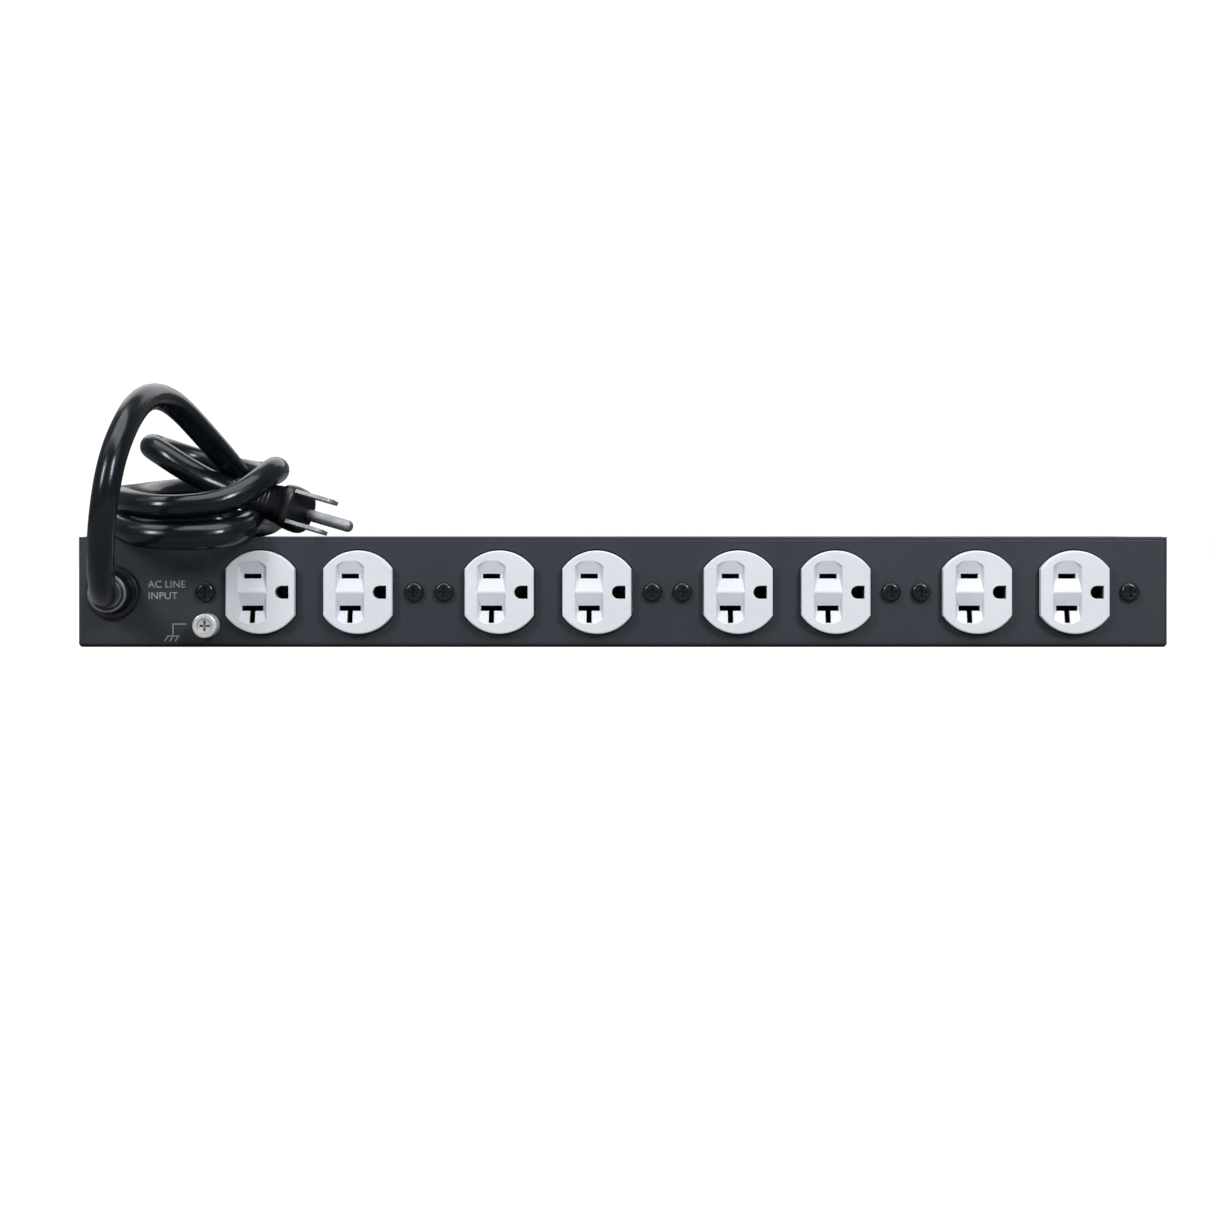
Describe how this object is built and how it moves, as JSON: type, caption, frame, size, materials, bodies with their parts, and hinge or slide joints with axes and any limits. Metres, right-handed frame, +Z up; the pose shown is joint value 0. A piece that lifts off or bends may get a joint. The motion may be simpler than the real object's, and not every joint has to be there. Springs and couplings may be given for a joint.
{
  "type": "rack power strip",
  "caption": "Rack-mount power distribution unit: a slim black steel box with white duplex receptacles along its rear, a coiled power cord, and a switch and breaker on the rack panel.",
  "frame": {"origin": "centre of the object's bottom face, taken without its free cord", "axes": "+X along the length, to the right as the receptacles are seen from outside; -Y the way the receptacles face, +Y the way the rack panel faces; +Z up"},
  "size_m": [0.4826, 0.1853, 0.1049],
  "materials": {
    "powder_coat": "fine-texture satin powder coat",
    "black_screw": "satin black oxide",
    "panel_coat": "black anodised, fine brushed",
    "zinc_steel": "bright zinc plate",
    "nickel": "bright nickel plate",
    "brass": "dull stamped brass",
    "white_nylon": "semi-gloss moulded nylon",
    "grey_base": "matt moulded thermoset",
    "cord_jacket": "satin PVC jacket",
    "plug_moulding": "satin moulded PVC",
    "gland_nylon": "satin nylon",
    "switch_black": "fine-grain moulded nylon",
    "rocker_red": "translucent red moulding",
    "lamp_glass": "clear neon lamp glass",
    "contact_copper": "silver-faced copper alloy",
    "breaker_black": "matt thermoset",
    "button_white": "semi-gloss moulded",
    "wire_black": "satin PVC insulation",
    "wire_white": "satin PVC insulation",
    "wire_green": "satin PVC insulation"
  },
  "bodies": {
    "chassis": {"chassis_base": "powder_coat", "top_cover": "powder_coat", "cover_screws": "black_screw", "front_panel": "panel_coat", "panel_screws": "black_screw", "receptacle_screws": "black_screw", "terminal_screws": "zinc_steel", "ground_collar": "nickel", "ground_screw": "nickel", "ground_washer": "zinc_steel", "ground_ring_terminal": "zinc_steel", "ground_nut": "zinc_steel", "strain_relief": "gland_nylon", "strain_relief_nut": "gland_nylon", "cord_entry": "cord_jacket", "cord_lead": "cord_jacket", "cord_coil": "cord_jacket", "plug_body": "plug_moulding", "plug_blades": "nickel", "plug_ground_pin": "nickel", "switch_housing": "switch_black", "switch_terminals": "contact_copper", "switch_lamp": "lamp_glass", "breaker_body": "breaker_black", "breaker_nut": "nickel", "breaker_terminals": "contact_copper", "hot_wires": "wire_black", "neutral_wires": "wire_white", "ground_wires": "wire_green", "outlet_1_face": "white_nylon", "outlet_1_base": "grey_base", "outlet_1_strap": "zinc_steel", "outlet_1_hot_contacts": "brass", "outlet_1_neutral_contacts": "brass", "outlet_1_ground_contact": "brass", "outlet_2_face": "white_nylon", "outlet_2_base": "grey_base", "outlet_2_strap": "zinc_steel", "outlet_2_hot_contacts": "brass", "outlet_2_neutral_contacts": "brass", "outlet_2_ground_contact": "brass", "outlet_3_face": "white_nylon", "outlet_3_base": "grey_base", "outlet_3_strap": "zinc_steel", "outlet_3_hot_contacts": "brass", "outlet_3_neutral_contacts": "brass", "outlet_3_ground_contact": "brass", "outlet_4_face": "white_nylon", "outlet_4_base": "grey_base", "outlet_4_strap": "zinc_steel", "outlet_4_hot_contacts": "brass", "outlet_4_neutral_contacts": "brass", "outlet_4_ground_contact": "brass"},
    "rocker": {"switch_rocker": "rocker_red", "switch_plungers": "button_white", "switch_springs": "zinc_steel"},
    "contact_arms": {"switch_contact_arms": "contact_copper"},
    "reset_button": {"breaker_button": "button_white"}
  },
  "joints": [
    {"name": "rocker_tilt", "type": "hinge", "parent": "chassis", "child": "rocker", "pos_m": [-0.15, 0.057, 0.022], "axis": [1, 0, 0], "range_deg": [0, 20]},
    {"name": "contact_arm_tilt", "type": "hinge", "parent": "chassis", "child": "contact_arms", "pos_m": [-0.15, 0.0458, 0.022], "axis": [1, 0, 0], "range_deg": [-16, 0]},
    {"name": "breaker_button_slide", "type": "slide", "parent": "chassis", "child": "reset_button", "axis": [0, 1, 0], "range_m": [0, 0.004], "stiffness_N_per_m": 60}
  ],
  "couplings": [
    {"joint": "contact_arm_tilt", "follows": "rocker_tilt", "ratio": -0.8}
  ]
}
